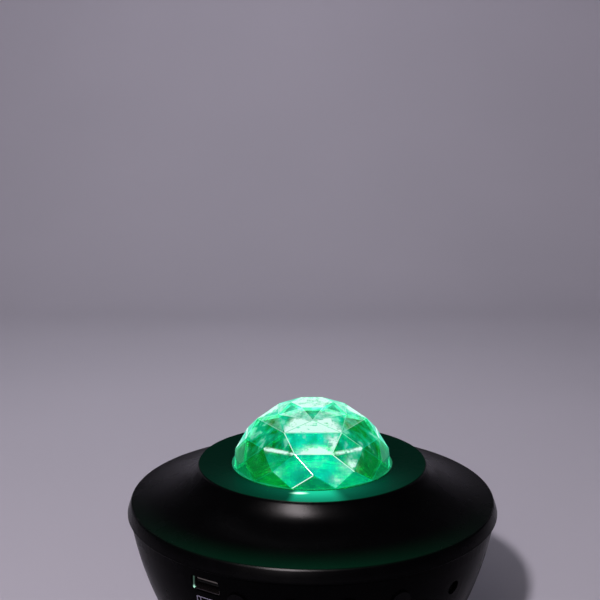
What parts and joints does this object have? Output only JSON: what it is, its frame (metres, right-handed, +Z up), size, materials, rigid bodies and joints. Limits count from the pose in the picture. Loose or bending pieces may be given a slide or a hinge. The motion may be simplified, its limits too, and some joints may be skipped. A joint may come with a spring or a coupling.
{
  "type": "star night light projector",
  "caption": "Round black table projector with a faceted glowing dome, a motor-driven ripple lens, star optic, speaker, push buttons and sockets.",
  "frame": {"origin": "centre of the footprint, on the surface that the rubber feet stand on", "axes": "+Z up along the dome's axis, -Y to the front, where the buttons and sockets are, +X to the right as the front is looked at"},
  "size_m": [0.165, 0.165, 0.1196],
  "materials": {
    "dome_plastic": "clear green, faceted and polished",
    "cover_plastic": "satin",
    "bowl_plastic": "satin",
    "base_plastic": "fine grain",
    "button_plastic": "satin",
    "foot_rubber": "matte",
    "screw_steel": "plated",
    "clamp_steel": "bright sheet",
    "tray_plastic": "moulded",
    "sink_aluminium": "extruded",
    "led_board_aluminium": "white solder mask",
    "led_phosphor": "clear resin over phosphor",
    "reflector_chrome": "vacuum metallised",
    "tower_plastic": "moulded",
    "barrel_brass": "turned",
    "optic_plastic": "clear",
    "washer_plastic": "natural",
    "gear_plastic": "natural",
    "lens_plastic": "clear, rippled",
    "pin_steel": "ground",
    "can_steel": "drawn",
    "end_cap_plastic": "moulded",
    "magnet_ferrite": "sintered",
    "core_steel": "stamped laminations",
    "board_laminate": "solder mask",
    "component_plastic": "moulded",
    "switch_plastic": "moulded",
    "socket_steel": "nickel plated",
    "tongue_plastic": "moulded",
    "contact_brass": "gold plated",
    "jack_plastic": "moulded",
    "basket_steel": "stamped",
    "cone_paper": "pulp",
    "surround_rubber": "matte"
  },
  "bodies": {
    "housing": {"crystal_dome": "dome_plastic", "top_cover": "cover_plastic", "bowl_housing": "bowl_plastic", "base_plate": "base_plastic", "rubber_feet": "foot_rubber", "base_screws": "screw_steel", "cover_screws": "screw_steel", "dome_clamp": "clamp_steel", "clamp_screws": "screw_steel", "lamp_tray": "tray_plastic", "tray_screws": "screw_steel", "heat_sink": "sink_aluminium", "heat_sink_screws": "screw_steel", "led_board": "led_board_aluminium", "led_emitters": "led_phosphor", "reflector_cups": "reflector_chrome", "laser_tower": "tower_plastic", "laser_barrel": "barrel_brass", "laser_lens": "optic_plastic", "star_grating": "optic_plastic", "grating_cap": "tower_plastic", "thrust_washer": "washer_plastic", "idler_pin": "pin_steel", "motor_can": "can_steel", "motor_end_cap": "end_cap_plastic", "motor_bush": "barrel_brass", "motor_magnets": "magnet_ferrite", "motor_screws": "screw_steel", "main_board": "board_laminate", "board_components": "component_plastic", "board_screws": "screw_steel", "tact_switches": "switch_plastic", "usb_shell": "socket_steel", "usb_tongue": "tongue_plastic", "usb_contacts": "contact_brass", "dc_jack_body": "jack_plastic", "dc_jack_contacts": "pin_steel", "speaker_basket": "basket_steel", "speaker_magnet": "magnet_ferrite", "speaker_surround": "surround_rubber", "speaker_screws": "screw_steel"},
    "turntable": {"ring_gear": "gear_plastic", "ripple_lens": "lens_plastic"},
    "idler": {"idler_gear": "gear_plastic"},
    "rotor": {"motor_armature": "core_steel", "motor_shaft": "pin_steel", "motor_pinion": "barrel_brass"},
    "diaphragm": {"speaker_cone": "cone_paper"},
    "power_key": {"power_button": "button_plastic", "power_plunger": "washer_plastic"},
    "colour_key": {"colour_button": "button_plastic", "colour_plunger": "washer_plastic"},
    "star_key": {"star_button": "button_plastic", "star_plunger": "washer_plastic"},
    "music_key": {"music_button": "button_plastic", "music_plunger": "washer_plastic"}
  },
  "joints": [
    {"name": "lens_spin", "type": "hinge", "parent": "housing", "child": "turntable", "pos_m": [0, 0, 0.0812], "axis": [0, 0, 1], "continuous": true},
    {"name": "idler_spin", "type": "hinge", "parent": "housing", "child": "idler", "pos_m": [0, 0.034, 0.0797], "axis": [0, 0, 1], "continuous": true},
    {"name": "rotor_spin", "type": "hinge", "parent": "housing", "child": "rotor", "pos_m": [0.00993, 0.03928, 0.065], "axis": [0, 0, 1], "continuous": true},
    {"name": "power_press", "type": "slide", "parent": "housing", "child": "power_key", "axis": [0.36, 0.933, 0], "range_m": [0, 0.0005], "stiffness_N_per_m": 400, "springref_m": -0.0005},
    {"name": "colour_press", "type": "slide", "parent": "housing", "child": "colour_key", "axis": [0.0976, 0.9952, 0], "range_m": [0, 0.0005], "stiffness_N_per_m": 400, "springref_m": -0.0005},
    {"name": "star_press", "type": "slide", "parent": "housing", "child": "star_key", "axis": [-0.1719, 0.9851, 0], "range_m": [0, 0.0005], "stiffness_N_per_m": 400, "springref_m": -0.0005},
    {"name": "music_press", "type": "slide", "parent": "housing", "child": "music_key", "axis": [-0.4289, 0.9033, 0], "range_m": [0, 0.0005], "stiffness_N_per_m": 400, "springref_m": -0.0005},
    {"name": "cone_stroke", "type": "slide", "parent": "housing", "child": "diaphragm", "axis": [0, 0, 1], "range_m": [-0.0008, 0.0008], "stiffness_N_per_m": 1500, "deforming": ["speaker_surround"]}
  ],
  "couplings": [
    {"joint": "idler_spin", "follows": "rotor_spin", "ratio": -0.36364},
    {"joint": "lens_spin", "follows": "rotor_spin", "ratio": 0.065657}
  ]
}
